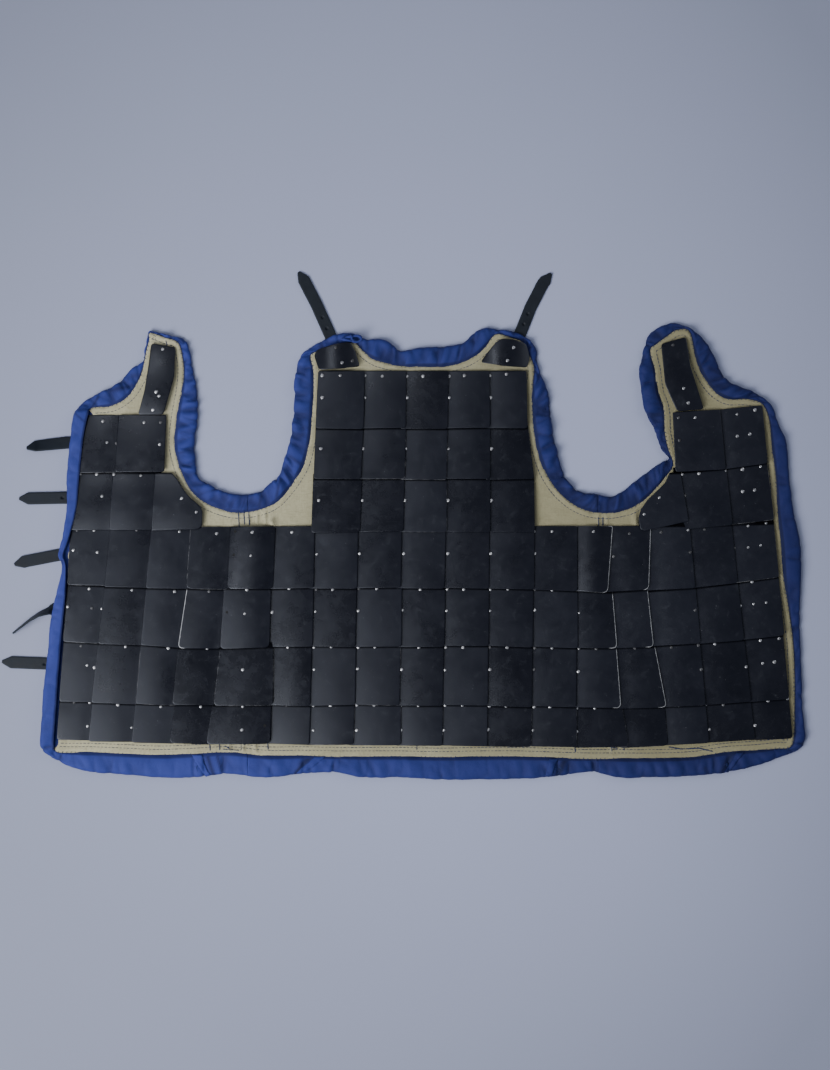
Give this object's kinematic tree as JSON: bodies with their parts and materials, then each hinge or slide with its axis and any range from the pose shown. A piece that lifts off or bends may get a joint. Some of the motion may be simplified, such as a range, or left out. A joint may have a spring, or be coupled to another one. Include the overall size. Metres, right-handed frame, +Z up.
{
  "type": "brigandine",
  "caption": "Cloth-covered body armour opened out flat with its inside up, showing overlapping blackened plates riveted to canvas and leather closing straps.",
  "frame": {"origin": "under the middle of the bounding box, on the surface that the opened brigandine lies on", "axes": "+X to the right of the picture along the hem, +Y from the hem to the neck, +Z up from the surface, through the lining"},
  "size_m": [1.168, 0.7388, 0.0182],
  "materials": {
    "outer_cloth": "blue wool, folded over at the edge and gathered",
    "canvas": "unbleached linen canvas",
    "plates": "blackened iron with worn bright edges",
    "straps": "dark grey dyed leather, cut edges",
    "buckles": "plain blackened iron"
  },
  "bodies": {
    "root": {"cloth_left_front": "outer_cloth", "cloth_back": "outer_cloth", "cloth_right_front": "outer_cloth", "canvas_lining": "canvas", "skirt_left_front_row_a": "plates", "skirt_back_row_a": "plates", "skirt_right_front_row_a": "plates", "skirt_left_front_row_b": "plates", "skirt_back_row_b": "plates", "skirt_right_front_row_b": "plates", "skirt_left_front_row_c": "plates", "skirt_back_row_c": "plates", "skirt_right_front_row_c": "plates", "skirt_left_front_row_d": "plates", "skirt_back_row_d": "plates", "skirt_right_front_row_d": "plates", "back_row_1_plate_1": "plates", "back_row_1_plate_2": "plates", "back_row_1_plate_3": "plates", "back_row_1_plate_4": "plates", "back_row_1_plate_5": "plates", "back_row_2_plate_1": "plates", "back_row_2_plate_2": "plates", "back_row_2_plate_3": "plates", "back_row_2_plate_4": "plates", "back_row_2_plate_5": "plates", "back_row_3_plate_1": "plates", "back_row_3_plate_2": "plates", "back_row_3_plate_3": "plates", "back_row_3_plate_4": "plates", "back_row_3_plate_5": "plates", "left_front_upper_1": "plates", "left_front_upper_2": "plates", "left_front_waist_1": "plates", "left_front_waist_2": "plates", "left_front_waist_3": "plates", "right_front_upper_1": "plates", "right_front_upper_2": "plates", "right_front_waist_1": "plates", "right_front_waist_2": "plates", "right_front_waist_3": "plates", "left_front_shoulder": "plates", "right_front_shoulder": "plates", "left_back_shoulder": "plates", "right_back_shoulder": "plates", "strap_front_1": "straps", "strap_front_2": "straps", "strap_front_3": "straps", "strap_front_4": "straps", "strap_front_5": "straps", "strap_left_shoulder": "straps", "strap_right_shoulder": "straps", "buckle_front_1": "buckles", "buckle_front_2": "buckles", "buckle_front_3": "buckles", "buckle_front_4": "buckles", "buckle_front_5": "buckles", "buckle_left_shoulder": "buckles", "buckle_right_shoulder": "buckles"}
  },
  "joints": []
}
